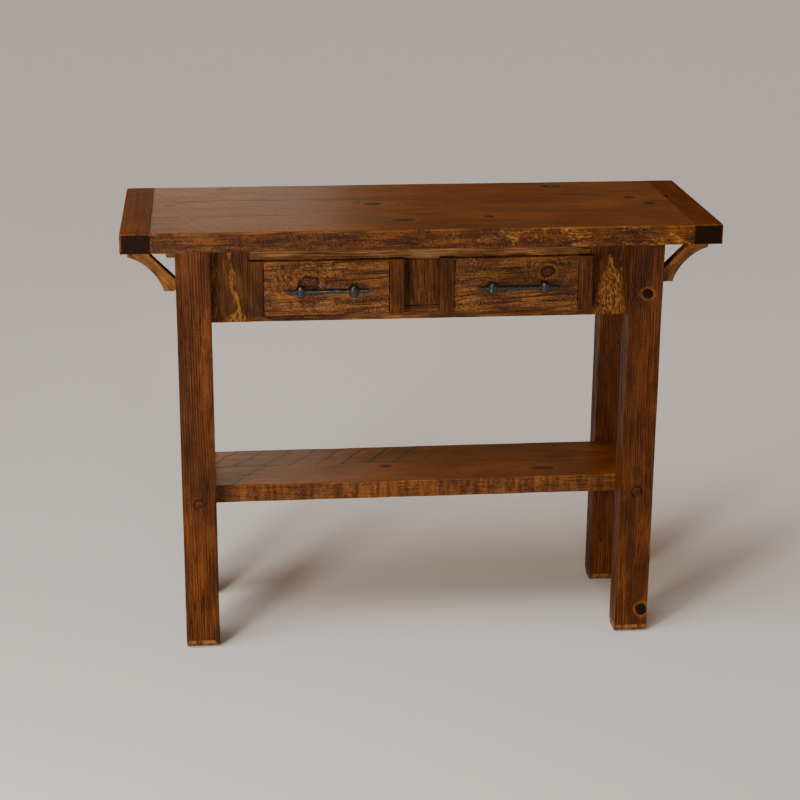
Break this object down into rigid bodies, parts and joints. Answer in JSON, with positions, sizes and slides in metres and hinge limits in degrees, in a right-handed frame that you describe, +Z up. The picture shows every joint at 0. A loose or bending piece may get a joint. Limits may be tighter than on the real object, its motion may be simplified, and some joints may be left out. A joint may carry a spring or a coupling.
{
  "type": "console table",
  "caption": "Rustic console table with overhanging plank top, curved corner braces, shallow drawers with bar pulls, straight legs and a lower shelf.",
  "frame": {"origin": "on the floor, under the middle of the top", "axes": "+X to the right along the length, +Y to the back (the drawers pull out towards -Y), +Z up"},
  "size_m": [1.22, 0.45, 0.927],
  "materials": {
    "top_wood": "dark brown stain under satin varnish, smooth",
    "leg_wood": "brown stain over wire-brushed pine, satin",
    "apron_wood": "brown stain, satin",
    "shelf_wood": "brown stain, rough sawn, satin",
    "brace_wood": "brown stain, sawn, satin",
    "drawer_face_wood": "brown stain over rough-sawn pine, satin",
    "drawer_box_wood": "clear finish",
    "bare_wood": "bare",
    "plywood": "clear finish",
    "plug_wood": "brown stain, satin",
    "forged_iron": "black wax over hammered iron",
    "screw_steel": "zinc plated"
  },
  "bodies": {
    "frame": {"back_apron": "apron_wood", "brace_back_left": "brace_wood", "brace_back_right": "brace_wood", "brace_front_left": "brace_wood", "brace_front_right": "brace_wood", "end_board_left": "top_wood", "end_board_right": "top_wood", "frame_dowels": "plug_wood", "front_block_left": "apron_wood", "front_block_middle": "apron_wood", "front_block_right": "apron_wood", "front_rail_bottom": "apron_wood", "front_rail_top": "apron_wood", "guide_left": "bare_wood", "guide_middle": "bare_wood", "guide_right": "bare_wood", "kicker_left": "bare_wood", "kicker_right": "bare_wood", "lag_screws": "screw_steel", "leg_back_left": "leg_wood", "leg_back_right": "leg_wood", "leg_front_left": "leg_wood", "leg_front_right": "leg_wood", "leg_plugs": "plug_wood", "runner_left": "bare_wood", "runner_middle": "bare_wood", "runner_right": "bare_wood", "shelf_plank_back": "shelf_wood", "shelf_plank_front": "shelf_wood", "side_apron_left": "apron_wood", "side_apron_right": "apron_wood", "top_plank_back": "top_wood", "top_plank_front": "top_wood", "top_plank_middle": "top_wood", "wood_screws": "screw_steel"},
    "drawer_left": {"drawer_left_bottom": "plywood", "drawer_left_box_back": "drawer_box_wood", "drawer_left_box_front": "drawer_box_wood", "drawer_left_face_cap_left": "drawer_face_wood", "drawer_left_face_cap_right": "drawer_face_wood", "drawer_left_face_panel": "drawer_face_wood", "drawer_left_face_screws": "screw_steel", "drawer_left_pull_posts": "forged_iron", "drawer_left_pull_rod": "forged_iron", "drawer_left_pull_screws": "screw_steel", "drawer_left_side_left": "drawer_box_wood", "drawer_left_side_right": "drawer_box_wood"},
    "drawer_right": {"drawer_right_bottom": "plywood", "drawer_right_box_back": "drawer_box_wood", "drawer_right_box_front": "drawer_box_wood", "drawer_right_face_cap_left": "drawer_face_wood", "drawer_right_face_cap_right": "drawer_face_wood", "drawer_right_face_panel": "drawer_face_wood", "drawer_right_face_screws": "screw_steel", "drawer_right_pull_posts": "forged_iron", "drawer_right_pull_rod": "forged_iron", "drawer_right_pull_screws": "screw_steel", "drawer_right_side_left": "drawer_box_wood", "drawer_right_side_right": "drawer_box_wood"}
  },
  "joints": [
    {"name": "drawer_left_slide", "type": "slide", "parent": "frame", "child": "drawer_left", "axis": [0, -1, 0], "range_m": [0, 0.19]},
    {"name": "drawer_right_slide", "type": "slide", "parent": "frame", "child": "drawer_right", "axis": [0, -1, 0], "range_m": [0, 0.19]}
  ]
}
